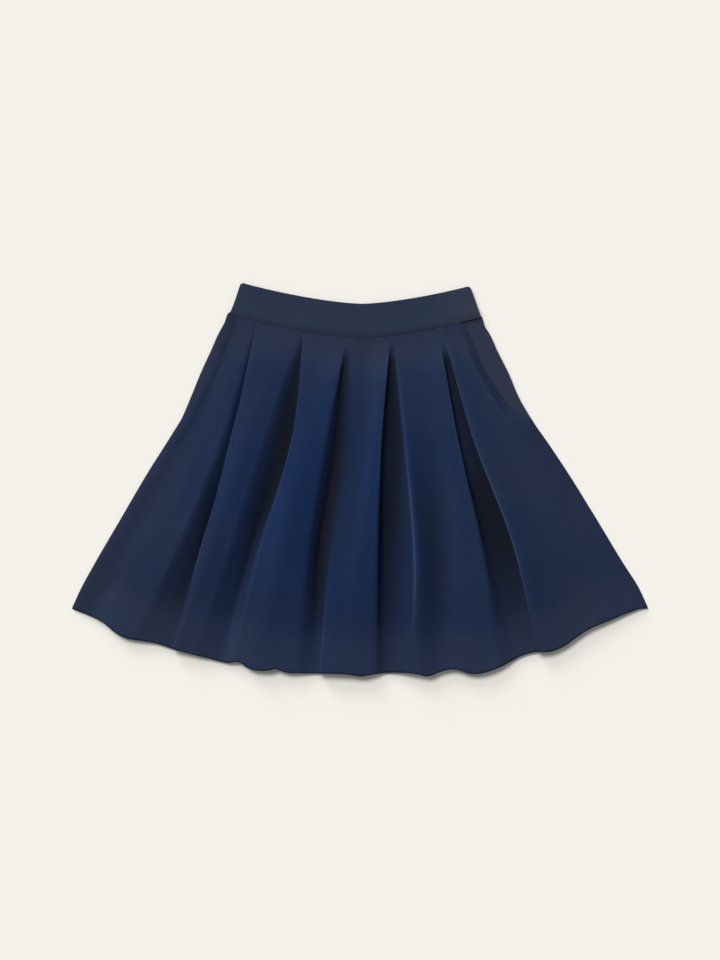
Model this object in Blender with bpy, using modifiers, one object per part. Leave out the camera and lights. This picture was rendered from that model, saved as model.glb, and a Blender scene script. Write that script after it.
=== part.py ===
"""A pleated skater skirt laid flat, front up.

Tables and sizes are in millimetres. Across runs to the right (+X), along runs from the hem to the waist (+Y)
and height runs up from the surface that the skirt lies on (+Z). Across 0, along 0 is the middle of the
skirt's length and width. The pieces, from below: two flat back panels with their half waistbands, a zip over
the centre-back seam, two pocket facings, and the pleated front panel with the front waistband.
"""
import bpy
import numpy as np

MM = 0.001

CLOTH = 1.2            # wall of one layer of skirt cloth
BAND_CLOTH = 1.8       # wall of the waistband, folded double over a stiffener
GAP = 0.3              # kept between neighbouring pieces
BAND_DEPTH = 46.5      # waistband, from its top edge to the waist seam
BAND_LIFT = (2.4, 1.4)        # how far the front band rises off the back one, at the seam and at the top
BAND_END_RAMP = 12.0          # how quickly it rises from its ends

WAIST_MIDDLE = (3.0, 240.5)   # lowest point of the dipping top edge
WAIST_RISE = 30.0      # how far the top edge climbs above that point ...
WAIST_REACH = 171.0    # ... at this distance to either side
WAIST_POWER = 1.5

# The skirt's side edges, laid flat. Every table's first row names its columns.
SIDES = (
    ("along", "left", "right"),
    (267, -163, 149),
    (230, -178, 161),
    (212, -187, 169),
    (180, -202, 184),
    (146, -216.5, 203),
    (113, -231, 217),
    (80, -246, 236),
    (50, -264, 255),
    (14, -288, 280),
    (-51, -326, 321),
    (-117, -364, 362),
    (-146, -380, 380),
    (-176, -394.5, 394.5),
)

# The hem from corner to corner
HEM = (
    ("across", "along"),
    (-394.5, -177),
    (-362, -190),
    (-351, -196),
    (-337, -208),
    (-323, -216),
    (-304, -220),
    (-280, -224),
    (-255, -232),
    (-206, -245),
    (-181, -251),
    (-164, -250.5),
    (-155, -257),
    (-142, -261),
    (-123, -261),
    (-115, -259),
    (-104, -263.5),
    (-82, -265),
    (-41, -265.5),
    (-14, -267),
    (0, -269.3),
    (22, -266),
    (58, -264.5),
    (80, -266.5),
    (92, -269.3),
    (110, -263),
    (127, -259.5),
    (155, -266.5),
    (175, -263),
    (197, -254),
    (222, -241),
    (238, -236.5),
    (263, -235),
    (281, -227),
    (296, -216),
    (312, -205.5),
    (337, -195),
    (370, -181.5),
    (384, -177),
    (394.5, -176.5),
)
BACK_INSET = 3.0       # how far the back's hem stays behind the front's

# The pocket mouths, from the waist seam down to where each meets the side edge
MOUTHS = (
    ("along", "left", "right"),
    (222, -180, 140),
    (194, -192, 153),
    (168, -201, 164),
    (143, -212, 177),
    (131, -218, 185),
    (114, -226, 196),
    (99, -234, 210),
    (84, -243, 232),
    (68, -253, 245),
)
FACING_HIDDEN = 24.0   # how far a facing runs on under the front panel
FACING_FOOT = {"left": 70.0, "right": 80.0}   # along, where each facing ends at the skirt's side

# The front panel is followed at four stations: the waist seam, the upper skirt, the lower skirt and the hem
STATIONS = np.array((0.0, 1 / 3, 2 / 3, 1.0))
FLOOR_HEIGHT = (4.0, 4.0, 4.5, 7.0)       # the cloth in the bottom of a pleat, at its middle surface
SHOULDER = (3.0, 6.0, 8.0, 9.0)           # from a pleat's edge to the top of the roll beside it
# The five pleats, from left to right. A pleat's edges are where it opens in the face beside it. A lap is how
# far the cloth turns back under its own edge, and a negative lap is an open slope.
PLEATS = (
    ("left edge", "right edge", "left lap", "right lap", "left height", "right height"),
    ((-142, -181, -236, -304), (-140, -173, -214, -256), (-4, -12, -22, -30), (4.5, 6, 6, 4),
     (5.4, 12, 18, 14), (8.6, 16, 22, 18)),
    ((-79, -128, -174, -222), (-77, -94, -138, -172), (-5, -16, -22, -26), (4.5, 6, -8, -14),
     (5.4, 14, 19, 15), (8.6, 17, 19, 14)),
    ((-17, -48, -75, -86), (-15, -12, -43, -56), (3, -11, -13, -16), (-3, -19, -13, 4),
     (8.2, 15, 19, 15), (5.4, 12, 20, 18)),
    ((43, 29, 24, 20), (46, 62, 75, 71), (4.5, 5, 1, -10), (-5, -10, -27, -27),
     (8.6, 17, 21, 16), (5.4, 15, 22, 17)),
    ((107, 135, 168, 193), (110, 152, 207, 242), (3, 4, -6, -18), (3.5, 6, 6, 5),
     (8.4, 14, 17, 14), (8.4, 17, 23, 18)),
)
# Soft ridges and troughs in the faces between the pleats, counted from the left side's face
SOFT_FOLDS = (
    ("face", "across", "height"),
    (0, (-168, -222, -301, -362), (5.0, 6.5, 7, 7)),
    (0, (-156, -204, -274, -346), (5.4, 12, 17, 13)),
    (1, (-108, -156, -202, -249), (5.6, 18, 23, 18)),
    (2, (-48, -78, -112, -136), (5.6, 18, 23, 18)),
    (3, (6, 2, -22, -38), (5.4, 14, 21, 19)),
    (3, (20, 15, 0, -14), (5.6, 18, 24, 20)),
    (4, (72, 88, 108, 114), (5.4, 12, 11, 13)),
    (4, (92, 119, 129, 136), (5.6, 17, 23, 19)),
    (5, (119, 186, 242, 284), (5.6, 11, 14, 12)),
    (5, (128, 206, 280, 324), (5.2, 15, 19, 15)),
)
EDGE_ROLL = ((0.0, 0.0), (4.0, 2.2), (11.0, 4.2))   # distance in from the side edge, and height gained
INWARD = {"left": 1, "right": -1}                   # the way across, from each side into the skirt
SIDE_TOP = SIDES[1][0]                              # along, where the side edges start at the top edge
SIDE_SEAM = {"left": 227.5, "right": 222.0}         # along, where each crosses the waist seam
SIDE_FOOT = SIDES[-1][0]                            # along, where they meet the hem
HEM_MIDDLE = -269.0
ROWS = 15
SAMPLES_A_POINT = 2    # columns of the mesh for each control point across

ZIP_WIDTH = 24.0
ZIP_LENGTH = 215.0
ZIP_WALL = 0.8
ZIP_DROP = (191.0, 173.0)     # along, where the zip steps down from the waistband to the skirt


def clear_scene():
    for obj in list(bpy.data.objects):
        bpy.data.objects.remove(obj, do_unlink=True)


def cloth_material(name, colour, roughness):
    """A plain Principled BSDF in the piece's own colour (linear values)."""
    material = bpy.data.materials.new(name)
    material.use_nodes = True
    shader = material.node_tree.nodes["Principled BSDF"]
    shader.inputs["Base Color"].default_value = (*colour, 1.0)
    shader.inputs["Roughness"].default_value = roughness
    shader.inputs["Metallic"].default_value = 0.0
    return material


def through(places, values, at):
    """A smooth curve through the table's points: cubic pieces whose slope at a point is the mean slope
    around it."""
    places = np.asarray(places, float)
    values = np.asarray(values, float)
    if places[0] > places[-1]:
        places, values = places[::-1], values[::-1]
    slopes = np.gradient(values, places)
    at = np.clip(np.asarray(at, float), places[0], places[-1])
    k = np.clip(np.searchsorted(places, at, side="right") - 1, 0, len(places) - 2)
    width = places[k + 1] - places[k]
    u = (at - places[k]) / width
    return (
        (2 * u**3 - 3 * u**2 + 1) * values[k]
        + (u**3 - 2 * u**2 + u) * width * slopes[k]
        + (3 * u**2 - 2 * u**3) * values[k + 1]
        + (u**3 - u**2) * width * slopes[k + 1]
    )


def column(table, name):
    index = table[0].index(name)
    return [row[index] for row in table[1:]]


def top_edge(across):
    """Along, on the dipping top edge: a power curve that climbs to both sides."""
    away = np.abs(np.asarray(across, float) - WAIST_MIDDLE[0]) / WAIST_REACH
    return WAIST_MIDDLE[1] + WAIST_RISE * away**WAIST_POWER


def waist_seam(across):
    return top_edge(across) - BAND_DEPTH


def hem_line(across):
    return through(column(HEM, "across"), column(HEM, "along"), across)


def side_edge(along, side):
    return through(column(SIDES, "along"), column(SIDES, side), along)


def front_edge(along, side):
    """The front panel's side edge: the pocket mouth where there is one, and the skirt's side below it."""
    outline = side_edge(along, side)
    mouth = through(column(MOUTHS, "along"), column(MOUTHS, side), along)
    inner = np.maximum(outline, mouth) if side == "left" else np.minimum(outline, mouth)
    return np.where(np.asarray(along, float) > MOUTHS[-1][0], inner, outline)


def spline_columns(control):
    """A clamped uniform cubic B-spline across each row of control points, sampled evenly."""
    points = control.shape[-1]
    padded = np.concatenate([control[..., :1]] * 2 + [control] + [control[..., -1:]] * 2, axis=-1)
    at = np.linspace(0.0, points + 1.0, (points + 1) * SAMPLES_A_POINT + 1)
    k = np.minimum(at.astype(int), points)
    u = at - k
    weights = ((1 - u) ** 3, 3 * u**3 - 6 * u**2 + 4, -3 * u**3 + 3 * u**2 + 3 * u + 1, u**3)
    return sum(w / 6 * padded[..., k + i] for i, w in enumerate(weights))


def edge_lines(t, side):
    """Control lines that bring the front panel down to its side edge, outermost first."""
    along = SIDE_SEAM[side] + (SIDE_FOOT - SIDE_SEAM[side]) * t
    edge = front_edge(along, side)
    over_back = CLOTH + GAP + CLOTH / 2
    over_facing = over_back + CLOTH + GAP
    foot = FACING_FOOT[side]
    height = np.interp(along, (foot - 30, foot - 4), (over_back, over_facing))
    return [(edge + INWARD[side] * away, height + gain) for away, gain in EDGE_ROLL]


def pleat_lines(pleat, t):
    """Nine control lines across one pleat: roll, edge, return and turn on the left, the floor, and the same
    on the right."""
    left, right, left_lap, right_lap, left_top, right_top = (through(STATIONS, values, t) for values in pleat)
    floor = through(STATIONS, FLOOR_HEIGHT, t)
    roll = through(STATIONS, SHOULDER, t)

    def half(edge, lap, top, outward):
        depth = top - floor
        return [
            (edge + outward * roll, top + 0.06 * roll),
            (edge, top),
            (edge + outward * 0.35 * lap, floor + 0.6 * depth),
            (edge + outward * lap, floor + 0.22 * depth),
        ]

    near = half(left, left_lap, left_top, -1)
    far = half(right, right_lap, right_top, 1)
    middle = ((near[-1][0] + far[-1][0]) / 2, floor)
    return near + [middle] + far[::-1]


def front_grid():
    """The front panel's middle surface as three grids: across, along and height."""
    t = np.linspace(0.0, 1.0, ROWS)
    lines = edge_lines(t, "left")
    for face in range(len(PLEATS)):
        if face > 0:
            lines += pleat_lines(PLEATS[face], t)
        for owner, across, height in SOFT_FOLDS[1:]:
            if owner == face:
                lines.append((through(STATIONS, across, t), through(STATIONS, height, t)))
    lines += edge_lines(t, "right")[::-1]
    across = spline_columns(np.stack([line[0] for line in lines], axis=-1))
    height = spline_columns(np.stack([line[1] for line in lines], axis=-1))
    seam = waist_seam(across[0]) - GAP
    hem = hem_line(across[-1])
    along = seam + (hem - seam) * t[:, None]
    return across, along, height


def cloth_from_grid(name, grid, wall, material, collection):
    """A sheet of quads over the grid, thickened to both sides of its middle surface."""
    across, along, height = grid
    rows, columns = across.shape
    points = np.stack((across, along, height), axis=-1).reshape(-1, 3) * MM
    corner = (np.arange(rows - 1)[:, None] * columns + np.arange(columns - 1)).ravel()
    quads = np.stack((corner, corner + columns, corner + columns + 1, corner + 1), axis=-1)
    mesh = bpy.data.meshes.new(name)
    mesh.from_pydata(points.tolist(), [], quads.tolist())
    mesh.materials.append(material)
    mesh.shade_smooth()
    obj = bpy.data.objects.new(name, mesh)
    collection.objects.link(obj)
    thicken = obj.modifiers.new("wall", "SOLIDIFY")
    thicken.thickness = wall * MM
    thicken.offset = 0.0
    return obj


def flat_cloth(name, outline, bottom, wall, material, collection):
    """A flat panel cut to a closed outline: a filled 2D curve, extruded by half its wall each way."""
    curve = bpy.data.curves.new(name, "CURVE")
    curve.dimensions = "2D"
    curve.fill_mode = "BOTH"
    curve.extrude = wall / 2 * MM
    spline = curve.splines.new("POLY")
    spline.points.add(len(outline) - 1)
    for point, (across, along) in zip(spline.points, outline):
        point.co = (across * MM, along * MM, 0.0, 1.0)
    spline.use_cyclic_u = True
    curve.materials.append(material)
    obj = bpy.data.objects.new(name, curve)
    obj.location.z = (bottom + wall / 2) * MM
    collection.objects.link(obj)
    return obj


def line_between(along_from, along_to, line, count):
    along = np.linspace(along_from, along_to, count)
    return list(zip(line(along), along))


def centre_back(along):
    """The centre-back seam leans a little from the waist's middle to the hem's."""
    return np.interp(along, (HEM_MIDDLE, WAIST_MIDDLE[1]), (0.0, WAIST_MIDDLE[0]))


def seam_edge(along, side):
    """The centre-back edge of the left or the right half, half the gap from the seam."""
    return centre_back(along) - INWARD[side] * GAP / 2


def back_panel_outline(side):
    """Half of the back, from the waist seam down the side, along the hem and up the centre-back seam."""
    waist_across = np.linspace(side_edge(SIDE_SEAM[side], side), seam_edge(WAIST_MIDDLE[1], side), 13)
    hem_across = np.linspace(side_edge(SIDE_FOOT + BACK_INSET, side), seam_edge(HEM_MIDDLE, side), 19)
    waist = list(zip(waist_across, waist_seam(waist_across) - GAP))
    hem = list(zip(hem_across, hem_line(hem_across) + BACK_INSET))
    outer = line_between(waist[0][1], hem[0][1], lambda along: side_edge(along, side), 12)
    return waist[::-1] + outer[1:-1] + hem


def band_back_outline(side):
    inner_end = seam_edge(WAIST_MIDDLE[1], side)
    upper = np.linspace(side_edge(SIDE_TOP, side), inner_end, 13)
    lower = np.linspace(side_edge(SIDE_SEAM[side], side), inner_end, 13)
    return list(zip(upper, top_edge(upper))) + list(zip(lower, waist_seam(lower)))[::-1]


def facing_outline(side):
    """The strip behind a pocket mouth: its outer edge is the skirt's side, and it runs on under the front."""
    foot = FACING_FOOT[side]
    hidden = INWARD[side] * FACING_HIDDEN
    outer = line_between(SIDE_SEAM[side], foot, lambda along: side_edge(along, side), 9)
    inner = line_between(foot, SIDE_SEAM[side], lambda along: front_edge(along, side) + hidden, 9)
    waist_across = np.linspace(inner[-1][0], outer[0][0], 5)
    waist = list(zip(waist_across, waist_seam(waist_across) - GAP))
    return waist + outer[1:] + inner[:-1]


def front_band_grid():
    """The front waistband: a shallow arch in height, pressed down on the back band at both ends."""
    u = np.linspace(0.0, 1.0, 41)[None, :]
    v = np.linspace(0.0, 1.0, 5)[:, None]
    left, right = (
        side_edge(SIDE_SEAM[side] + (SIDE_TOP - SIDE_SEAM[side]) * v, side) for side in ("left", "right"))
    across = left + (right - left) * u
    seam = waist_seam(across)
    along = seam + BAND_DEPTH * v
    rest = BAND_CLOTH + GAP + BAND_CLOTH / 2
    arch = np.minimum(BAND_END_RAMP * u * (1 - u), 1.0) ** 0.5
    lift = BAND_LIFT[0] + (BAND_LIFT[1] - BAND_LIFT[0]) * v
    return across, along, rest + arch * lift


def zip_grid():
    """The zip's tape: a narrow strip that steps down from the back waistband to the back panels."""
    u = np.linspace(-0.5, 0.5, 5)[None, :]
    top = float(top_edge(WAIST_MIDDLE[0])) - 1.0
    along = np.linspace(top, top - ZIP_LENGTH, 15)[:, None]
    across = centre_back(along) + ZIP_WIDTH * u
    upper = BAND_CLOTH + GAP + ZIP_WALL / 2
    lower = CLOTH + GAP + ZIP_WALL / 2
    height = np.interp(along, ZIP_DROP[::-1], (lower, upper)) + 0.0 * u
    return across, along + 0.0 * u, height


def build():
    clear_scene()
    skirt = bpy.data.collections.new("pleated_skater_skirt")
    bpy.context.scene.collection.children.link(skirt)
    navy = (0.013, 0.027, 0.078)
    band_navy = (0.026, 0.040, 0.072)

    def material(name, colour=navy, roughness=0.6):
        return cloth_material(name, colour, roughness)

    cloth_from_grid("skirt_front", front_grid(), CLOTH, material("skirt_front"), skirt)
    cloth_from_grid(
        "waistband_front", front_band_grid(), BAND_CLOTH, material("waistband_front", band_navy), skirt)
    cloth_from_grid("zip", zip_grid(), ZIP_WALL, material("zip", (0.010, 0.014, 0.030), 0.5), skirt)
    for side in ("left", "right"):
        name = f"skirt_back_{side}"
        flat_cloth(name, back_panel_outline(side), 0.0, CLOTH, material(name), skirt)
        name = f"waistband_back_{side}"
        flat_cloth(name, band_back_outline(side), 0.0, BAND_CLOTH, material(name, band_navy), skirt)
        name = f"pocket_facing_{side}"
        flat_cloth(name, facing_outline(side), CLOTH + GAP, CLOTH, material(name), skirt)


build()
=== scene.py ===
import bpy
import numpy as np
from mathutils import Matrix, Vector


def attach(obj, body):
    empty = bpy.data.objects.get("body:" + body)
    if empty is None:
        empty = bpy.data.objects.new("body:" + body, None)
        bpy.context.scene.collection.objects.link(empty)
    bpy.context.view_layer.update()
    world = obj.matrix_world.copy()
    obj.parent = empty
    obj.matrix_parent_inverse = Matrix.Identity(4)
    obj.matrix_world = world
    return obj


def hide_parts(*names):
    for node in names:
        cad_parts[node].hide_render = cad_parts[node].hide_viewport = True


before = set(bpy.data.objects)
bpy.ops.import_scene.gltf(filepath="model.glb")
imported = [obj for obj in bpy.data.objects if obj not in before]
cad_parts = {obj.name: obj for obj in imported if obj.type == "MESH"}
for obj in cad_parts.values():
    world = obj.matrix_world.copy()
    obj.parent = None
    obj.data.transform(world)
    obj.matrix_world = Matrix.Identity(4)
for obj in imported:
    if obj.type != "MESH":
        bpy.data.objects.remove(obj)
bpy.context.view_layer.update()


# The table, the light and the camera.
# A pale matt table top, a big soft light at the upper left and a camera straight above the skirt's middle.
TABLE_TONE = (0.905, 0.880, 0.823)
CAMERA_HEIGHT = 4.0
VIEW_HEIGHT = 1.315            # the length of table that fills the picture from top to bottom
VIEW_MIDDLE_Y = -0.0007
# Each light: where it stands in degrees anticlockwise from the right, how many degrees above the table, how
# many degrees wide it looks, and its power
LIGHTS = (("key_light", 128.0, 50.0, 26.0, 2.26), ("low_light", 122.0, 17.0, 24.0, 1.83))
FILL_STRENGTH = 0.28


def plain_material(name, colour, roughness):
    """One colour and one roughness all over."""
    material = bpy.data.materials.new(name)
    material.use_nodes = True
    shader = material.node_tree.nodes["Principled BSDF"]
    shader.inputs["Base Color"].default_value = (*colour, 1.0)
    shader.inputs["Roughness"].default_value = roughness
    return material


table_mesh = bpy.data.meshes.new("table_top")
table_mesh.from_pydata([(-3, -3, 0), (3, -3, 0), (3, 3, 0), (-3, 3, 0)], [], [(0, 1, 2, 3)])
table_mesh.materials.append(plain_material("table_paint", TABLE_TONE, 0.9))
table = bpy.data.objects.new("table_top", table_mesh)
bpy.context.scene.collection.objects.link(table)

camera_data = bpy.data.cameras.new("camera")
camera_data.sensor_fit = "VERTICAL"
camera_data.sensor_height = 24.0
camera_data.lens = camera_data.sensor_height * CAMERA_HEIGHT / VIEW_HEIGHT
camera = bpy.data.objects.new("camera", camera_data)
camera.location = (0.0, VIEW_MIDDLE_Y, CAMERA_HEIGHT)
bpy.context.scene.collection.objects.link(camera)
bpy.context.scene.camera = camera

for name, turn, lift, spread, power in LIGHTS:
    turn, lift = np.radians(turn), np.radians(lift)
    toward = Vector((np.cos(lift) * np.cos(turn), np.cos(lift) * np.sin(turn), np.sin(lift)))
    light_data = bpy.data.lights.new(name, "SUN")
    light_data.angle = np.radians(spread)
    light_data.energy = power
    light = bpy.data.objects.new(name, light_data)
    light.location = toward * 2.0
    light.rotation_euler = toward.to_track_quat("Z", "Y").to_euler()
    bpy.context.scene.collection.objects.link(light)

world = bpy.data.worlds.new("studio")
world.use_nodes = True
world.node_tree.nodes["Background"].inputs["Color"].default_value = (1.0, 1.0, 1.0, 1.0)
world.node_tree.nodes["Background"].inputs["Strength"].default_value = FILL_STRENGTH
bpy.context.scene.world = world
bpy.context.scene.view_settings.view_transform = "Standard"


# The front panel.
# One wide piece of smooth navy crepe, folded at the waist into five unpressed pleats that open towards the
# hem, and sewn to the waistband and to the back's sides. All sizes below are in millimetres: across to the
# right, along towards the waist, height off the table.
MM = 0.001                                     # a millimetre, in metres
CLOTH = 0.7                                    # thickness of the cloth
WAIST_MIDDLE = (3.0, 240.5)                    # across and along, in the middle of the top edge
WAIST_RISE, WAIST_REACH, WAIST_POWER = 30.0, 171.0, 1.5
BAND_DEPTH = 46.5
# The skirt's side lines, its hem and its slant pocket mouths
SIDES = (
    ("along", "left", "right"),
    (267, -163, 150.5),
    (230, -177.3, 163),
    (212, -187, 169.5),
    (197, -195, 178.5),
    (180, -202.5, 186),
    (146, -218, 203),
    (113, -231.5, 217),
    (80, -246, 236.5),
    (50, -264.5, 257.5),
    (14, -287.5, 281.5),
    (-51, -326, 322),
    (-117, -364.5, 362),
    (-146, -380.5, 380.5),
    (-176, -394.5, 394.5),
)
HEM = (
    ("across", "along"),
    (-394.5, -177),
    (-362, -190),
    (-351, -196),
    (-337, -208),
    (-323, -216),
    (-304, -220),
    (-280, -224),
    (-255, -232),
    (-206, -245),
    (-181, -251),
    (-164, -250.5),
    (-155, -257),
    (-142, -261),
    (-123, -261),
    (-115, -259),
    (-104, -263.5),
    (-82, -265),
    (-41, -265.5),
    (-14, -267),
    (0, -269.3),
    (22, -266),
    (58, -264.5),
    (80, -266.5),
    (92, -269.3),
    (110, -263),
    (127, -259.5),
    (155, -266.5),
    (175, -263),
    (197, -254),
    (222, -241),
    (238, -236.5),
    (263, -235),
    (281, -227),
    (296, -216),
    (312, -205.5),
    (337, -195),
    (370, -181.5),
    (384, -177),
    (394.5, -176.5),
)
MOUTHS = (
    ("along", "left", "right"),
    (222, -180, 140),
    (194, -192, 153),
    (168, -201, 164),
    (143, -212, 177),
    (131, -218, 185),
    (114, -226, 196),
    (99, -234, 210),
    (84, -243, 232),
    (68, -253, 245),
)
FACING_FOOT = {"left": 70.0, "right": 80.0}    # along, where the pocket facings end
INWARD = {"left": 1, "right": -1}
SIDE_TOP, SIDE_FOOT = 267.0, -176.0            # along, where the side lines start and end
SIDE_SEAM = {"left": 227.5, "right": 222.0}    # along, where they meet the waist seam

# Four stations, as shares of the length: the waist seam, the upper skirt, the lower skirt and the hem
STATIONS = np.array((0.0, 1 / 3, 2 / 3, 1.0))
FLOOR_HEIGHT = (4.0, 4.0, 4.5, 7.0)            # height of the cloth at the bottom of a pleat
SHOULDER = (3.0, 6.0, 8.0, 9.0)                # how far from its edge a face begins to round off
PLEATS = (
    ("left edge", "right edge", "left lap", "right lap", "left height", "right height"),
    ((-142, -181, -236, -304), (-140, -173, -214, -256), (-4, -12, -22, -30), (4.5, 6, 6, 4),
     (5.4, 12, 18, 14), (8.6, 16, 22, 18)),
    ((-79, -128, -174, -222), (-77, -94, -138, -172), (-5, -16, -22, -26), (4.5, 6, -8, -14),
     (5.4, 14, 19, 15), (8.6, 17, 19, 14)),
    ((-17, -47, -71.5, -84), (-15, -11, -41, -56), (3, -11, -13, -16), (-3, -19, -12, 4),
     (8.2, 15, 16, 14), (5.4, 12, 19, 18)),
    ((43, 29, 24, 21), (46, 62, 75, 71), (4.5, 5, -4, -11), (-5, -10, -27, -27),
     (8.6, 17, 21, 16), (5.4, 15, 22, 17)),
    ((107, 135, 168, 193), (110, 152, 207, 242), (3, 4, -6, -18), (3.5, 6, 6, 5),
     (8.4, 14, 17, 14), (8.4, 17, 23, 18)),
)
# Soft folds across the faces; the last column is how much painted shade each gets at the stations
SOFT_FOLDS = (
    ("face", "across", "height", "hollow"),
    (0, (-168, -222, -301, -362), (5.0, 6.5, 7, 7), (0, 0.4, 0.5, 0.05)),
    (0, (-156, -204, -274, -346), (5.4, 12, 17, 13), (0, 0.2, 0.2, 0.05)),
    (1, (-108, -156, -202, -249), (5.6, 18, 23, 18), (0, 0, 0, 0)),
    (2, (-48, -78, -112, -136), (5.6, 18, 23, 18), (0, 0, 0, 0)),
    (3, (6, 2, -22, -38), (5.4, 14, 21, 19), (0.1, 0.5, 0.4, 0.05)),
    (3, (20, 15, 0, -14), (5.6, 18, 24, 20), (0, 0, 0, 0)),
    (4, (72, 88, 108, 114), (5.4, 12, 11, 13), (0, 0.5, 0.95, 0.15)),
    (4, (92, 119, 129, 136), (5.6, 17, 23, 19), (0, 0, 0, 0)),
    (5, (119, 186, 242, 284), (5.6, 11, 14, 12), (0, 0.25, 0.35, 0.1)),
    (5, (128, 206, 280, 324), (5.2, 15, 19, 15), (0, 0, 0, 0)),
)
STITCHED = (0, 0, 10, 7, 25)                   # how far each pleat is stitched flat below the waist seam
OPENING = 34.0                                 # over what length it opens from there
# For each pleat, at the stations: how much painted shade darkens its inside, and how much abrasion,
# with a painted highlight, its left and right edges show
PLEAT_PAINTED_SHADE = (
    (0.3, 0.5, 0.8, 0.1),
    (0.8, 1, 0.75, -0.3),
    (0.8, 1.1, 1.25, 0),
    (0.9, 1, 0.85, 0.4),
    (0.9, 0.95, 1, 0.15),
)
WEAR_AND_HIGHLIGHT = (
    ((0, 0.1, 0.1, 0), (0, 0.1, 0.1, 0)),
    ((0, 0.1, 0.1, 0), (0, 0.1, 0.1, 0)),
    ((0, 0.1, 0.1, 0), (0, 0, 0, 0.1)),
    ((0, 0.15, 0.2, 0.1), (0, 0.3, 0.55, -0.3)),
    ((0, 0.1, 0.1, 0), (0, 0.3, 0.65, -0.3)),
)
WEAR_HIGHLIGHT_WIDTH = 1.5                               # how far an edge's lighter line of abrasion and painted highlight reaches from the fold
TUCKED_LAP, OPEN_LAP = 4.0, -16.0              # laps at which an edge is fully crisp, and fully soft
# From a pleat's edge down its return: share of the lap, and share of the depth that is left
RETURN = ((0.28, 0.66), (0.68, 0.36), (1.0, 0.10))
# How much painted shade the control lines of a pleat's two halves get, from the roll down to the turn: in
# any case, what an open slope adds, and what a tucked-under edge adds
LEFT_HALF = ((0, 0.05, 0), (0, 0.1, 0), (0, 0.2, 0), (0.3, 0, -0.1), (0.55, 0, -0.35), (1, 0, -0.7))
RIGHT_HALF = ((0, 0.3, 0), (0, 0.4, 0), (0, 0.5, 0.2), (0.9, -0.35, 0), (1, -0.2, 0), (1, 0, 0))
EDGE_ROLL = ((0.0, 0.0), (4.0, 2.2), (11.0, 4.2))    # from the side edge inwards: distance and rise
EDGE_PAINTED_SHADE = {"left": 0.4, "right": 0.05}        # how much painted shade darkens the side edges
SIDE_REST = {"back": 1.9, "facing": 3.1}       # height of the front's side edge over the back or a facing
FACING_STEP = (30.0, 4.0)                      # how far below a facing's end it begins and ends that rise
FRONT_ROWS = 140
FRONT_SAMPLES = 4                              # columns for each control line across
PRESSED = 0.14                                 # share of the length that the waist seam presses flatter
PRESSED_SHARE = 0.15                           # how much of the height is left at the seam
HEM_DROOP = 0.38                               # how much the folds sink towards the table at the hem
DROOP_START = 0.72                             # share of the length where that begins
TUCK = 2.5                                     # how far the panel runs on under the waistband
EDGE_LINES = (2, 10)                           # which of a pleat's control lines are its two edges


def column(rows, name):
    """A named column of a table whose first row holds the names."""
    index = rows[0].index(name)
    return [row[index] for row in rows[1:]]


def through(places, values, at):
    """A smooth curve through given points: cubic pieces whose slope at a point is the mean slope around
    it."""
    places = np.asarray(places, float)
    values = np.asarray(values, float)
    if places[0] > places[-1]:
        places, values = places[::-1], values[::-1]
    slopes = np.gradient(values, places)
    at = np.clip(np.asarray(at, float), places[0], places[-1])
    k = np.clip(np.searchsorted(places, at, side="right") - 1, 0, len(places) - 2)
    width = places[k + 1] - places[k]
    u = (at - places[k]) / width
    return (
        (2 * u**3 - 3 * u**2 + 1) * values[k]
        + (u**3 - 2 * u**2 + u) * width * slopes[k]
        + (3 * u**2 - 2 * u**3) * values[k + 1]
        + (u**3 - u**2) * width * slopes[k + 1]
    )


def ease(value):
    """0 below 0, 1 above 1, and a smooth S between: 3v squared less 2v cubed."""
    v = np.clip(value, 0.0, 1.0)
    return v * v * (3 - 2 * v)


def top_edge(across):
    """Along, on the dipping top edge: from its middle it climbs by a power of the distance to that middle."""
    away = np.abs(np.asarray(across, float) - WAIST_MIDDLE[0]) / WAIST_REACH
    return WAIST_MIDDLE[1] + WAIST_RISE * away**WAIST_POWER


def waist_seam(across):
    """Along, on the seam between the waistband and the panels: the top edge, a band's depth lower."""
    return top_edge(across) - BAND_DEPTH


def hem_line(across):
    """Along, on the hem: a smooth curve through its table."""
    return through(column(HEM, "across"), column(HEM, "along"), across)


def side_edge(along, side):
    """Across, on the left or right side line: a smooth curve through its table."""
    return through(column(SIDES, "along"), column(SIDES, side), along)


def front_edge(along, side):
    """The front panel's side edge: the pocket mouth where there is one, and the skirt's side below it."""
    outline = side_edge(along, side)
    mouth = through(column(MOUTHS, "along"), column(MOUTHS, side), along)
    inner = np.maximum(outline, mouth) if side == "left" else np.minimum(outline, mouth)
    return np.where(np.asarray(along, float) > MOUTHS[-1][0], inner, outline)


def spline_columns(control, samples):
    """A clamped uniform cubic B-spline across each row of control points, sampled evenly."""
    points = control.shape[-1]
    padded = np.concatenate([control[..., :1]] * 2 + [control] + [control[..., -1:]] * 2, axis=-1)
    at = np.linspace(0.0, points + 1.0, (points + 1) * samples + 1)
    k = np.minimum(at.astype(int), points)
    u = at - k
    weights = ((1 - u) ** 3, 3 * u**3 - 6 * u**2 + 4, -3 * u**3 + 3 * u**2 + 3 * u + 1, u**3)
    return sum(w / 6 * padded[..., k + i] for i, w in enumerate(weights))


def edge_lines(t, side):
    """Control lines that bring the front panel down to its side edge, outermost first, as across, height
    and painted shade."""
    along = SIDE_SEAM[side] + (SIDE_FOOT - SIDE_SEAM[side]) * t
    edge = front_edge(along, side)
    foot = FACING_FOOT[side]
    step = (foot - FACING_STEP[0], foot - FACING_STEP[1])
    height = np.interp(along, step, (SIDE_REST["back"], SIDE_REST["facing"]))
    # painted shade along the side edge
    dark = np.full_like(t, EDGE_PAINTED_SHADE[side])
    return [(edge + INWARD[side] * away, height + gain, dark) for away, gain in EDGE_ROLL]


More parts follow.
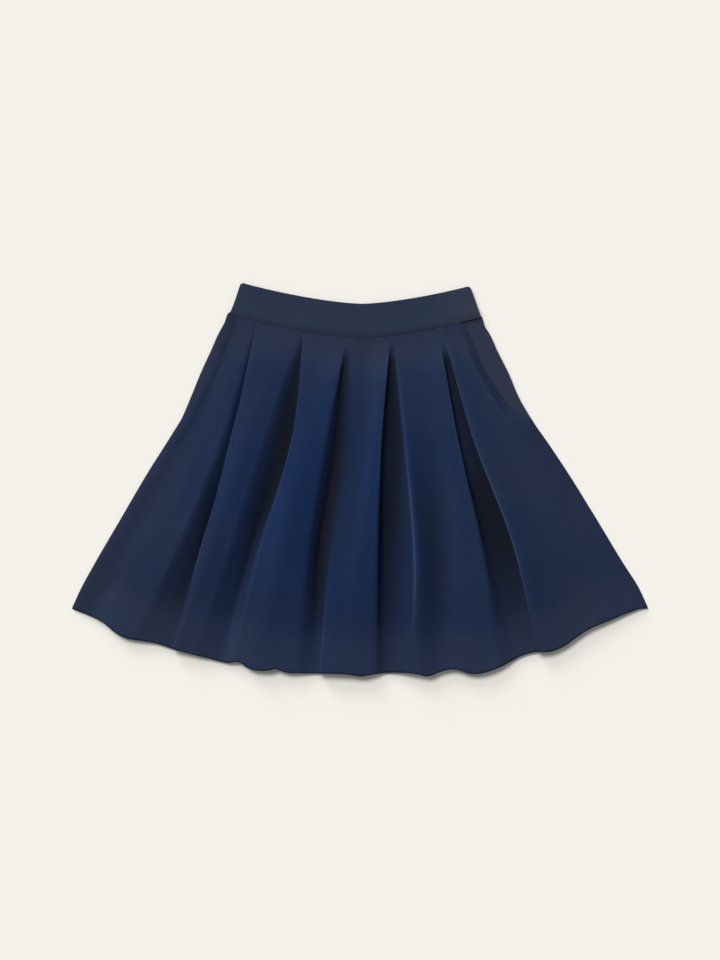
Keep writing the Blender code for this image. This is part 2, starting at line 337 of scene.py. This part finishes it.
def pleat_lines(index, t):
    """Control lines across one pleat: the roll, the shoulder, the edge, the return in two steps and the turn
    on the left, then the floor, and the same on the right. The pleat is flat as far as it is stitched down,
    and its laps and its depth grow from there. A positive lap tucks under its edge, and a negative one
    makes an open slope."""
    left, right, left_lap, right_lap, left_top, right_top = (
        through(STATIONS, values, t) for values in PLEATS[index])
    length = waist_seam(left) - hem_line(left)
    released = ease((t * length - STITCHED[index - 1]) / OPENING)
    left_lap, right_lap = left_lap * released, right_lap * released
    # painted shade: how much darker the inside of the pleat is painted at t
    hollow = through(STATIONS, PLEAT_PAINTED_SHADE[index - 1], t) * released
    level = (left_top + right_top) / 2
    left_top, right_top, floor = (
        level + (height - level) * released
        for height in (left_top, right_top, through(STATIONS, FLOOR_HEIGHT, t)))
    roll = through(STATIONS, SHOULDER, t)

    def half(edge, lap, top, outward, looks):
        depth = top - floor
        crisp = np.clip(lap / TUCKED_LAP, 0.0, 1.0)
        soft = np.clip(lap / OPEN_LAP, 0.0, 1.0)
        shoulder = 1.4 + 0.3 * roll * (1 - crisp)
        places = [
            (edge + outward * roll, top + 0.06 * roll),
            (edge + outward * shoulder, top + 0.04 * roll),
            (edge, top - 0.08 * depth * (1 - crisp)),
        ]
        places += [(edge + outward * share * lap, floor + left_over * depth) for share, left_over in RETURN]
        return [
            (*place, (always + open_gain * soft + tucked_gain * crisp) * hollow)
            for place, (always, open_gain, tucked_gain) in zip(places, looks)
        ]

    left_half = half(left, left_lap, left_top, -1, LEFT_HALF)
    right_half = half(right, right_lap, right_top, 1, RIGHT_HALF)
    middle = ((left_half[-1][0] + right_half[-1][0]) / 2, floor, hollow)
    return left_half + [middle] + right_half[::-1]


def edge_wear_and_highlight(across, line, samples, wear_and_highlight_strength):
    """Abrasion and a painted highlight along one fold edge: its strength at t, times a narrow bell of the
    distance across from the edge's own column, and nothing beyond the columns that turn over it. The
    spline passes nearest to control line n at its column (n + 1) times the samples."""
    middle = (line + 1) * samples
    columns = slice(middle - 2 * samples, middle + 2 * samples + 1)
    away = across[:, columns] - across[:, middle, None]
    wear_and_highlight = np.zeros_like(across)
    wear_and_highlight[:, columns] = wear_and_highlight_strength[:, None] * np.exp(-((away / WEAR_HIGHLIGHT_WIDTH) ** 2))
    return wear_and_highlight


def front_surface(rows, samples):
    """The front panel as a function of t, from waist seam to hem, and of the place across: each row is a
    B-spline drawn by the fold lines at that t. From left to right come the side edge, the soft folds of
    face 0, pleat 1, the soft folds of face 1 and so on. Gives across, along, height, painted shade, and
    abrasion with a painted highlight, as grids."""
    t = np.linspace(0.0, 1.0, rows)
    lines = edge_lines(t, "left")
    edges = []
    for face in range(len(PLEATS)):
        if face > 0:
            for place, values in zip(EDGE_LINES, WEAR_AND_HIGHLIGHT[face - 1]):
                edges.append((len(lines) + place, through(STATIONS, values, t)))
            lines += pleat_lines(face, t)
        for owner, *curves in SOFT_FOLDS[1:]:
            if owner == face:
                lines.append(tuple(through(STATIONS, values, t) for values in curves))
    lines += edge_lines(t, "right")[::-1]
    across, height, hollow = (
        spline_columns(np.stack([line[i] for line in lines], axis=-1), samples) for i in range(3))
    wear_and_highlight = sum(edge_wear_and_highlight(across, line, samples, wear_and_highlight_strength) for line, wear_and_highlight_strength in edges)
    floor = through(STATIONS, FLOOR_HEIGHT, t)[:, None]
    pressed = PRESSED_SHARE + (1 - PRESSED_SHARE) * ease(t / PRESSED)[:, None]
    height = np.where(height > floor, floor + (height - floor) * pressed, height)
    height = height * (1 - HEM_DROOP * ease((t - DROOP_START) / (1 - DROOP_START))[:, None])
    seam = waist_seam(across[0]) + TUCK
    hem = hem_line(across[-1])
    along = seam + (hem - seam) * t[:, None]
    return across, along, height, hollow, wear_and_highlight


# Creases left by folding and handling: the middle of each, its length and half width, its turn from the
# along direction in degrees (anticlockwise), and how far it rises
CREASES = (
    ("across", "along", "length", "width", "turn", "rise"),
    (-300, -95, 150, 10, -28, 0.9),
    (-345, -150, 90, 9, -34, -0.8),
    (-232, -30, 120, 8, -24, -0.7),
    (-190, 40, 90, 8, -20, 0.6),
    (-150, -150, 130, 9, -12, 0.7),
    (-120, -40, 150, 9, -10, -0.5),
    (-8, -110, 180, 12, -3, 0.8),
    (8, 60, 110, 9, 2, -0.5),
    (112, -150, 130, 9, 4, -0.7),
    (138, -40, 120, 9, 8, 0.6),
    (262, -60, 170, 11, 22, 0.9),
    (300, -130, 140, 10, 30, -0.9),
    (330, -150, 80, 8, 34, 0.7),
    (212, 60, 90, 9, 20, 0.6),
    (170, 120, 50, 7, 30, -0.6),
    (-212, 130, 60, 7, -22, 0.5),
    (301, -192, 24, 3, 0, -1.2),
)


def crease_relief(across, along):
    """Height of all creases together: for each, a bell across it and an eased fade towards both ends."""
    total = np.zeros_like(across)
    for x, y, length, width, turn, rise in CREASES[1:]:
        angle = np.radians(turn)
        dx, dy = across - x, along - y
        onward = np.cos(angle) * dy - np.sin(angle) * dx
        sideways = np.cos(angle) * dx + np.sin(angle) * dy
        fade = ease(1.0 - np.abs(onward) / (length / 2))
        total += rise * fade * np.exp(-((sideways / width) ** 2))
    return total


WAVES = 14


def slow_waves(across, along, seed, size):
    """A gentle unevenness: the sum of a few sine waves of unlike length and direction, each of them drawn
    from a seeded generator, scaled to the given size."""
    draw = np.random.default_rng(seed)
    total = np.zeros_like(across)
    for _ in range(WAVES):
        length = draw.uniform(45.0, 160.0)
        angle = draw.uniform(-0.5, 0.5)
        phase = draw.uniform(0.0, 2 * np.pi)
        total += np.sin(2 * np.pi * (np.cos(angle) * across + np.sin(angle) * along) / length + phase)
    return total * size / np.sqrt(WAVES)


def normals_of(points):
    """Unit normals of a grid of points, from the cross product of its two directions; they point up on a
    grid whose rows run down the skirt and whose columns run to the right."""
    down = np.gradient(points, axis=0)
    right = np.gradient(points, axis=1)
    normal = np.cross(down, right)
    return normal / np.maximum(np.linalg.norm(normal, axis=-1, keepdims=True), 1e-9)


def arc_lengths(points):
    """For each point of a grid, how far it lies along its row and down its column, measured on the cloth."""
    right = np.linalg.norm(np.diff(points, axis=1), axis=-1)
    down = np.linalg.norm(np.diff(points, axis=0), axis=-1)
    u = np.concatenate((np.zeros((points.shape[0], 1)), np.cumsum(right, axis=1)), axis=1)
    v = np.concatenate((np.zeros((1, points.shape[1])), np.cumsum(down, axis=0)), axis=0)
    return u - u[:, u.shape[1] // 2, None], v


def sheet_object(name, points, wall, material, masks, fullness=None):
    """A grid of points in millimetres as a smooth cloth shell: quads between the points, a UV map in metres
    of cloth, a named attribute for each mask, and Solidify to both sides. The wall may thin out towards an
    edge: fullness is its share of the full wall at each point."""
    rows, columns = points.shape[:2]
    corner = (np.arange(rows - 1)[:, None] * columns + np.arange(columns - 1)).ravel()
    quads = np.stack((corner, corner + columns, corner + columns + 1, corner + 1), axis=-1)
    mesh = bpy.data.meshes.new(name)
    mesh.vertices.add(rows * columns)
    mesh.vertices.foreach_set("co", (points.reshape(-1, 3) * MM).ravel())
    mesh.loops.add(quads.size)
    mesh.loops.foreach_set("vertex_index", quads.ravel())
    mesh.polygons.add(len(quads))
    mesh.polygons.foreach_set("loop_start", np.arange(0, quads.size, 4))
    mesh.update(calc_edges=True)
    mesh.validate()
    u, v = arc_lengths(points)
    spread = np.stack((u.ravel(), -v.ravel()), axis=-1) * MM
    mesh.uv_layers.new(name="cloth").data.foreach_set("uv", spread[quads.ravel()].ravel())
    for mask_name, mask in masks.items():
        attribute = mesh.attributes.new(mask_name, "FLOAT", "POINT")
        attribute.data.foreach_set("value", np.broadcast_to(mask, (rows, columns)).astype(np.float32).ravel())
    mesh.materials.append(material)
    mesh.shade_smooth()
    obj = bpy.data.objects.new(name, mesh)
    bpy.context.scene.collection.objects.link(obj)
    thicken = obj.modifiers.new("cloth_thickness", "SOLIDIFY")
    thicken.thickness = wall * MM
    thicken.offset = 0.0
    if fullness is not None:
        full_wall = obj.vertex_groups.new(name="full_wall")
        share = np.round(np.broadcast_to(fullness, (rows, columns)).ravel(), 1)
        for step in np.unique(share):
            full_wall.add(np.flatnonzero(share == step).tolist(), float(step), "REPLACE")
        thicken.vertex_group = full_wall.name
    return obj


def node_group(name, inputs, outputs):
    """An empty shader node group with named sockets, each given as (name, kind, default)."""
    group = bpy.data.node_groups.new(name, "ShaderNodeTree")
    for direction, sockets in (("INPUT", inputs), ("OUTPUT", outputs)):
        for label, kind, default in sockets:
            socket = group.interface.new_socket(name=label, in_out=direction, socket_type=f"NodeSocket{kind}")
            if default is not None:
                socket.default_value = default
    return group, group.nodes.new("NodeGroupInput"), group.nodes.new("NodeGroupOutput")


def crepe_weave_group():
    """The crepe's pebbly weave, read on the UV map in metres of cloth: twisted yarns crossing in two
    directions, broken up by fine noise. Gives a height for bump and a fleck value for tone."""
    group, given, result = node_group(
        "crepe_weave",
        (("Cloth", "Vector", None), ("Yarns per metre", "Float", 1500.0), ("Yarn share", "Float", 0.45)),
        (("Height", "Float", None), ("Fleck", "Float", None)),
    )
    nodes, links = group.nodes, group.links

    def scaled(vector, factor):
        node = nodes.new("ShaderNodeVectorMath")
        node.operation = "SCALE"
        links.new(vector, node.inputs[0])
        links.new(factor, node.inputs["Scale"])
        return node.outputs[0]

    yarn_space = scaled(given.outputs["Cloth"], given.outputs["Yarns per metre"])
    heights = []
    for axis in ("X", "Y"):
        wave = nodes.new("ShaderNodeTexWave")
        wave.bands_direction = axis
        wave.inputs["Scale"].default_value = 0.314    # one band for each yarn
        wave.inputs["Distortion"].default_value = 2.2
        wave.inputs["Detail"].default_value = 1.0
        links.new(yarn_space, wave.inputs["Vector"])
        heights.append(wave.outputs["Fac"])
    crossing = nodes.new("ShaderNodeMath")
    crossing.operation = "MULTIPLY"
    links.new(heights[0], crossing.inputs[0])
    links.new(heights[1], crossing.inputs[1])
    grain = nodes.new("ShaderNodeTexNoise")
    grain.inputs["Scale"].default_value = 0.8
    grain.inputs["Detail"].default_value = 3.0
    links.new(yarn_space, grain.inputs["Vector"])
    weave = nodes.new("ShaderNodeMix")
    links.new(given.outputs["Yarn share"], weave.inputs["Factor"])
    links.new(grain.outputs["Fac"], weave.inputs["A"])
    links.new(crossing.outputs[0], weave.inputs["B"])
    links.new(weave.outputs["Result"], result.inputs["Height"])
    fleck = nodes.new("ShaderNodeTexNoise")
    fleck.inputs["Scale"].default_value = 260.0
    fleck.inputs["Detail"].default_value = 2.0
    links.new(given.outputs["Cloth"], fleck.inputs["Vector"])
    links.new(fleck.outputs["Fac"], result.inputs["Fleck"])
    return group


NAVY = (0.0072, 0.0208, 0.0740)
NAVY_FLAT = (0.0215, 0.0280, 0.0500)           # greyer, where the cloth lies flat: a painted sheen
NAVY_PAINTED_SHADE = (0.0064, 0.0080, 0.0150)         # darker, inside the pleats: painted shade
NAVY_WEAR_HIGHLIGHT = (0.0450, 0.0700, 0.1500)            # lighter, along fold edges: abrasion and a painted highlight


def cloth_tone_group():
    """The cloth's tones, read on Object coordinates and from masks: broad soft patches between two tones,
    the greyer of which paints a sheen where the cloth lies flat, a darker one that paints shade inside the
    pleats, a lighter one along abraded fold edges that also paints their highlight, and a fine fleck. The
    painted shade also makes the cloth rougher."""
    group, given, result = node_group(
        "cloth_tone",
        (
            ("Object", "Vector", None),
            ("Fleck", "Float", 0.5),
            ("Flat", "Float", 0.0),
            ("Hollow", "Float", 0.0),
            ("Wear and highlight", "Float", 0.0),
            ("Tone", "Color", (*NAVY, 1.0)),
            ("Flat tone", "Color", (*NAVY_FLAT, 1.0)),
            ("Painted shade tone", "Color", (*NAVY_PAINTED_SHADE, 1.0)),
            ("Wear and highlight tone", "Color", (*NAVY_WEAR_HIGHLIGHT, 1.0)),
            ("Roughness", "Float", 0.6),
        ),
        (("Color", "Color", None), ("Roughness", "Float", None)),
    )
    nodes, links = group.nodes, group.links

    def calculated(operation, first, second):
        node = nodes.new("ShaderNodeMath")
        node.operation = operation
        for socket, value in zip(node.inputs, (first, second)):
            if isinstance(value, (int, float)):
                socket.default_value = value
            else:
                links.new(value, socket)
        return node.outputs[0]

    def mixed(factor, first, second):
        node = nodes.new("ShaderNodeMix")
        node.data_type = "RGBA"
        links.new(factor, node.inputs["Factor"])
        links.new(first, node.inputs[6])       # the Mix node's colour sockets, A and B
        links.new(second, node.inputs[7])
        return node.outputs[2]

    patches = nodes.new("ShaderNodeTexNoise")
    patches.inputs["Scale"].default_value = 9.0
    patches.inputs["Detail"].default_value = 2.0
    links.new(given.outputs["Object"], patches.inputs["Vector"])
    uneven = calculated("MULTIPLY", calculated("SUBTRACT", patches.outputs["Fac"], 0.5), 0.55)
    share = nodes.new("ShaderNodeClamp")
    links.new(calculated("ADD", given.outputs["Flat"], uneven), share.inputs["Value"])
    # the greyer tone, mixed in by the Flat mask, paints a sheen
    tone_and_sheen = mixed(share.outputs[0], given.outputs["Tone"], given.outputs["Flat tone"])
    # painted shade inside the pleats
    shaded = mixed(given.outputs["Hollow"], tone_and_sheen, given.outputs["Painted shade tone"])
    # abrasion and a painted highlight along fold edges
    wear_highlighted = mixed(given.outputs["Wear and highlight"], shaded, given.outputs["Wear and highlight tone"])
    shade = nodes.new("ShaderNodeHueSaturation")
    flecks = calculated("ADD", calculated("MULTIPLY", given.outputs["Fleck"], 0.30), 0.85)
    links.new(flecks, shade.inputs["Value"])
    links.new(wear_highlighted, shade.inputs["Color"])
    links.new(shade.outputs[0], result.inputs["Color"])
    in_hollows = calculated("MULTIPLY", given.outputs["Hollow"], 0.25)
    rougher = calculated("ADD", given.outputs["Roughness"], in_hollows)
    uneven_rough = calculated("ADD", rougher, calculated("MULTIPLY", uneven, 0.1))
    links.new(uneven_rough, result.inputs["Roughness"])
    return group


CREPE_WEAVE = crepe_weave_group()
CLOTH_TONE = cloth_tone_group()


def crepe_material(name, tone=NAVY, flat_tone=NAVY_FLAT, roughness=0.6):
    """Smooth navy crepe: the weave group's height goes to a bump, and the tone group gives colour and
    roughness. The specular level and tint are the same all over, so they are set on the shader itself."""
    material = bpy.data.materials.new(name)
    material.use_nodes = True
    nodes, links = material.node_tree.nodes, material.node_tree.links
    shader = nodes["Principled BSDF"]
    shader.inputs["Specular IOR Level"].default_value = 0.12
    shader.inputs["Specular Tint"].default_value = (0.5, 0.7, 1.0, 1.0)
    cloth = nodes.new("ShaderNodeUVMap")
    cloth.uv_map = "cloth"
    place = nodes.new("ShaderNodeTexCoord")
    weave = nodes.new("ShaderNodeGroup")
    weave.node_tree = CREPE_WEAVE
    links.new(cloth.outputs[0], weave.inputs["Cloth"])
    tones = nodes.new("ShaderNodeGroup")
    tones.node_tree = CLOTH_TONE
    tones.inputs["Tone"].default_value = (*tone, 1.0)
    tones.inputs["Flat tone"].default_value = (*flat_tone, 1.0)
    tones.inputs["Roughness"].default_value = roughness
    links.new(place.outputs["Object"], tones.inputs["Object"])
    links.new(weave.outputs["Fleck"], tones.inputs["Fleck"])
    # masks for abrasion with a painted highlight, for the greyer tone that paints a sheen, and for painted
    # shade
    for mask, socket in (("wear_highlight", "Wear and highlight"), ("flat", "Flat"), ("hollow", "Hollow")):
        attribute = nodes.new("ShaderNodeAttribute")
        attribute.attribute_name = mask
        links.new(attribute.outputs["Fac"], tones.inputs[socket])
    bump = nodes.new("ShaderNodeBump")
    bump.inputs["Strength"].default_value = 0.10
    bump.inputs["Distance"].default_value = 0.0004
    links.new(weave.outputs["Height"], bump.inputs["Height"])
    links.new(tones.outputs["Color"], shader.inputs["Base Color"])
    links.new(tones.outputs["Roughness"], shader.inputs["Roughness"])
    links.new(bump.outputs["Normal"], shader.inputs["Normal"])
    return material


across, along, height, hollow, wear_and_highlight = front_surface(FRONT_ROWS, FRONT_SAMPLES)
down = np.linspace(0.0, 1.0, FRONT_ROWS)[:, None]
from_side = np.minimum(across - across[:, :1], across[:, -1:] - across)
front_points = np.stack((across, along, height), axis=-1)
relief = crease_relief(across, along) + slow_waves(across, along, seed=4, size=0.55)
relief = relief * ease(down / 0.2) * ease(from_side / 14.0)    # none at the waist seam and the side edges
front_points = front_points + normals_of(front_points) * relief[..., None]

# Where the cloth looks bluest: a bell around this place, wider towards the hem and most of all on its
# right. Away from it, and along the hem and the waist seam, a greyer tone paints a sheen
BLUE_MIDDLE = (-25.0, -15.0)
BLUE_REACH = (220.0, 185.0)
BLUE_REACH_BELOW = (80.0, 65.0)                # what the lower part adds to the reach
hem_band = ease((down - 0.84) / 0.08)
seam_band = 1 - ease(down / 0.16)
below = ease((BLUE_MIDDLE[1] - along) / 100.0)
reach_across = BLUE_REACH[0] + BLUE_REACH_BELOW[0] * below * (across > BLUE_MIDDLE[0])
reach_along = BLUE_REACH[1] + BLUE_REACH_BELOW[1] * below
blue_bell = np.exp(
    -(((across - BLUE_MIDDLE[0]) / reach_across) ** 2) - (((along - BLUE_MIDDLE[1]) / reach_along) ** 2))
# the share of the greyer tone, a painted sheen: least in the blue bell, more along the hem and the waist seam
flat_sheen = np.clip(0.95 - 1.1 * blue_bell + 0.25 * hem_band + 0.5 * seam_band, 0.0, 1.0)
upper_right = ease((across - 110.0) / 100.0) * ease((along + 80.0) / 80.0)
front = sheet_object(
    "front_panel",
    front_points,
    CLOTH,
    crepe_material("front_crepe"),
    {
        # abrasion and painted highlights along the fold edges, and a faint painted highlight along the hem
        "wear_highlight": np.clip(wear_and_highlight + 0.05 * hem_band, 0.0, 1.0),
        # painted shade inside the pleats and along the side edges
        "hollow": np.clip(hollow, 0.0, 1.0),
        "flat": flat_sheen * (0.8 + 0.2 * upper_right),
    },
    fullness=0.3 + 0.7 * ease(from_side / 4.0),
)
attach(front, "root")
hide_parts("skirt_front")


# The back panels.
# Two plain panels of the same crepe, joined by a centre-back seam and sewn to the front at the sides. They
# lie flat on the table under the front.
HEM_MIDDLE = (0.0, -269.0)                     # across and along
BACK_LEVEL, BACK_WALL = 0.6, 1.0               # middle of the wall off the table, and its thickness
SEAM_HALF = 0.25                               # half the gap at the centre-back seam
BACK_TOP_GAP = 0.4                             # how far the panel's top stays below the waist seam
HEM_STEP = 3.0                                 # how far the back's hem stays inside the front's


def centre_back(along):
    """Across, on the centre-back seam: a straight line from the hem's middle to the waist's."""
    return np.interp(along, (HEM_MIDDLE[1], WAIST_MIDDLE[1]), (HEM_MIDDLE[0], WAIST_MIDDLE[0]))


def back_surface(side, rows, columns):
    """Half of the back as a ruled grid: v runs from waist seam to hem and u from side edge to centre back,
    with each point on the straight line between its waist and hem places."""
    u = np.linspace(0.0, 1.0, columns)[None, :]
    v = np.linspace(0.0, 1.0, rows)[:, None]
    near_seam = SEAM_HALF * INWARD[side]
    waist_edge, hem_edge = side_edge(SIDE_SEAM[side], side), side_edge(SIDE_FOOT + HEM_STEP, side)
    waist_y = waist_seam(waist_edge + (WAIST_MIDDLE[0] - near_seam - waist_edge) * u) - BACK_TOP_GAP
    hem_y = hem_line(hem_edge + (-near_seam - hem_edge) * u) + HEM_STEP
    along = waist_y + (hem_y - waist_y) * v
    outer = side_edge(along[:, :1], side)
    inner = centre_back(along) - near_seam
    across = outer + (inner - outer) * u
    if side == "right":
        across, along = across[:, ::-1], along[:, ::-1]
    return np.stack((across, along, np.full_like(across, BACK_LEVEL)), axis=-1)


back_crepe = crepe_material("back_crepe")
for side in ("left", "right"):
    points = back_surface(side, rows=90, columns=90)
    back = sheet_object(f"back_panel_{side}", points, BACK_WALL, back_crepe, {"flat": 0.8})
    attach(back, "root")
    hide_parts(f"skirt_back_{side}")


# The waistband.
# A shaped band of the same crepe over a stiffener, in one piece at the front and two halves at the back. It
# is sewn along its lower edge over the tops of the panels.
BAND_WALL = 1.5
BAND_EDGE = 0.2                # share of the wall left at the lower edge, where it is sewn to the panel
BAND_EDGE_REACH = 7.0
BAND_ROWS = 40
BAND_COLUMNS = 260
CROWDING = 1.7                 # how much closer the rows stand towards the top edge, as a power
CORNER = 4.0                   # radius of the turned corners at both ends of the top edge
BAND_REST = 3.0                # middle of the front band's wall where its ends lie on the back band
BAND_RISE = 1.5                # how far it rises between its ends
HELD_NEAR = 6.0                # the band rises over whatever the seam holds within this distance across
HELD_GAP = 0.02                # between the panel's cloth and the middle of the band's wall at the seam


def band_end(side, v):
    """Across, at an end of the band: the side edge, drawn in by a quarter circle at the top corner."""
    into = np.clip(CORNER - BAND_DEPTH * (1 - v), 0.0, CORNER)
    inset = CORNER - np.sqrt(CORNER**2 - into**2)
    return side_edge(SIDE_SEAM[side] + (SIDE_TOP - SIDE_SEAM[side]) * v, side) + INWARD[side] * inset


def band_surface():
    """The front band: a strip between the seam and the top edge, down on the back band at both ends. Its
    lower edge rises over each pleat that the seam holds, and dips in between: the lift is what the highest
    cloth nearby needs, smoothed along the seam, and it is eased out at 0.55 of the depth."""
    u = np.linspace(0.0, 1.0, BAND_COLUMNS)[None, :]
    v = 1 - (1 - np.linspace(0.0, 1.0, BAND_ROWS)[:, None]) ** CROWDING
    left, right = band_end("left", v), band_end("right", v)
    across = left + (right - left) * u
    along = waist_seam(across) + BAND_DEPTH * v
    arch = np.minimum(12.0 * u * (1 - u), 1.0) ** 0.5
    level = BAND_REST + BAND_RISE * arch * (1 - 0.35 * v)
    top_of_panel = front_points[:4, :, 2].max(axis=0)
    panel_across = front_points[0, :, 0]
    reach = np.clip(across[0], panel_across.min(), panel_across.max())
    near = np.abs(reach[:, None] - panel_across[None, :]) < HELD_NEAR
    held_height = np.where(near, top_of_panel[None, :], 0.0).max(axis=1)
    window = np.hanning(9)
    held_height = np.convolve(np.pad(held_height, 4, mode="edge"), window / window.sum(), mode="valid")
    over_panel = held_height[None, :] + CLOTH / 2 + HELD_GAP
    level = level + np.maximum(over_panel - level, 0.0) * (1 - ease(v / 0.55))
    level = level + slow_waves(across, along, seed=9, size=0.22) * arch * ease(v * 4) * ease((1 - v) * 4)
    return np.stack((across, along, level), axis=-1)[::-1]


BAND_TONE = (0.0205, 0.0297, 0.0566)
BAND_END_TONE = (0.0310, 0.0360, 0.0610)       # lighter and greyer, towards its right end
band_crepe = crepe_material("band_crepe", BAND_TONE, BAND_END_TONE, roughness=0.65)
band_points = band_surface()
right_end = ease((band_points[..., 0] - 90.0) / 60.0)
above_seam = band_points[..., 1] - waist_seam(band_points[..., 0])
band = sheet_object(
    "waistband_front_panel",
    band_points,
    BAND_WALL,
    band_crepe,
    {"flat": 0.9 * right_end},
    fullness=BAND_EDGE + (1 - BAND_EDGE) * ease(above_seam / BAND_EDGE_REACH),
)
soften = band.modifiers.new("soft_edges", "BEVEL")
soften.width = 0.6 * MM
soften.segments = 2
soften.limit_method = "ANGLE"
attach(band, "root")
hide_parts("waistband_front")


BACK_BAND_LEVEL, BACK_BAND_WALL = 0.9, 1.6


def back_band_surface(side):
    """Half of the back band, flat on the table: u runs from its side end to the centre back, and v from the
    top edge to the seam, with the rows closest together at the turned corner."""
    u = np.linspace(0.0, 1.0, 60)[None, :]
    v = 1 - np.linspace(0.0, 1.0, 20)[:, None] ** CROWDING
    outer = band_end(side, v)
    inner = WAIST_MIDDLE[0] - SEAM_HALF * INWARD[side]
    across = outer + (inner - outer) * u
    along = waist_seam(across) + BAND_DEPTH * v
    if side == "right":
        across, along = across[:, ::-1], along[:, ::-1]
    return np.stack((across, along, np.full_like(across, BACK_BAND_LEVEL)), axis=-1)


for side in ("left", "right"):
    points = back_band_surface(side)
    half = sheet_object(f"back_band_{side}", points, BACK_BAND_WALL, band_crepe, {"flat": 0.1})
    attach(half, "root")
    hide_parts(f"waistband_back_{side}")


# The pocket facings.
# A side piece of the same crepe lies behind each slant pocket mouth and shows as a strip beside it. It is
# sewn in at the side and under the waistband.
FACING_LEVEL, FACING_WALL = 2.25, 1.0
FACING_HIDDEN = 24.0                           # how far it runs on behind the mouth
FACING_TUCK = 1.5                              # how far it runs on under the waistband
FACING_TONE = (0.0260, 0.0318, 0.0555)


def facing_surface(side):
    """A facing as a grid: v runs down the mouth, and u from the skirt's side edge to the hidden edge. Its
    first rows are eased up to the slant of the waist seam."""
    u = np.linspace(0.0, 1.0, 24)[None, :]
    v = np.linspace(0.0, 1.0, 60)[:, None]
    along = SIDE_SEAM[side] + (FACING_FOOT[side] - SIDE_SEAM[side]) * v + np.zeros_like(u)
    outer = side_edge(along, side)
    inner = front_edge(along, side) + INWARD[side] * FACING_HIDDEN
    across = outer + (inner - outer) * u
    top = waist_seam(across) + FACING_TUCK
    along = np.minimum(along, top)
    along = along + (top - along) * ease(1 - 12 * v)
    if side == "right":
        across, along = across[:, ::-1], along[:, ::-1]
    return np.stack((across, along, np.full_like(across, FACING_LEVEL)), axis=-1)


facing_crepe = crepe_material("facing_crepe", flat_tone=FACING_TONE)
for side in ("left", "right"):
    facing = sheet_object(
        f"facing_{side}", facing_surface(side), FACING_WALL, facing_crepe, {"flat": 1.0})
    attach(facing, "root")
    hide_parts(f"pocket_facing_{side}")


# The zip.
# A concealed zip, sewn into the centre-back seam: two woven tapes with a nylon coil between them, closed,
# and hidden between front and back.
ZIP_TOP, ZIP_FOOT = 238.0, 23.0
ZIP_HALF = 12.0
ZIP_WALL = 0.5
ZIP_STEP = (191.0, 173.0)                      # along, where it steps down from the waistband to the skirt
ZIP_LEVELS = (2.3, 1.7)                        # middle of the tapes above and below that step
COIL_HALF, COIL_RISE = 2.2, 0.5
COIL_PITCH = 2.0                               # length of one turn of the coil


def zip_surface():
    """The zip as one grid: flat tapes, a raised half-round coil along the middle that ripples once for each
    turn of the coil, and a sloping step down below the waistband."""
    along = np.linspace(ZIP_TOP, ZIP_FOOT, 430)[:, None]
    away = ZIP_HALF * np.linspace(-1.0, 1.0, 49)[None, :]
    across = centre_back(along) + away
    along = along + np.zeros_like(away)
    level = np.interp(along, ZIP_STEP[::-1], ZIP_LEVELS[::-1])
    coil = np.sqrt(np.maximum(1 - (away / COIL_HALF) ** 2, 0.0))
    ripple = 0.85 + 0.15 * np.cos(2 * np.pi * along / COIL_PITCH)
    return np.stack((across, along, level + COIL_RISE * coil * ripple), axis=-1)


zip_weave = crepe_material("zip_weave", tone=NAVY_FLAT, flat_tone=NAVY)
zip_tape = sheet_object("zip_tape", zip_surface(), ZIP_WALL, zip_weave, {"flat": 0.3})
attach(zip_tape, "root")
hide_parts("zip")
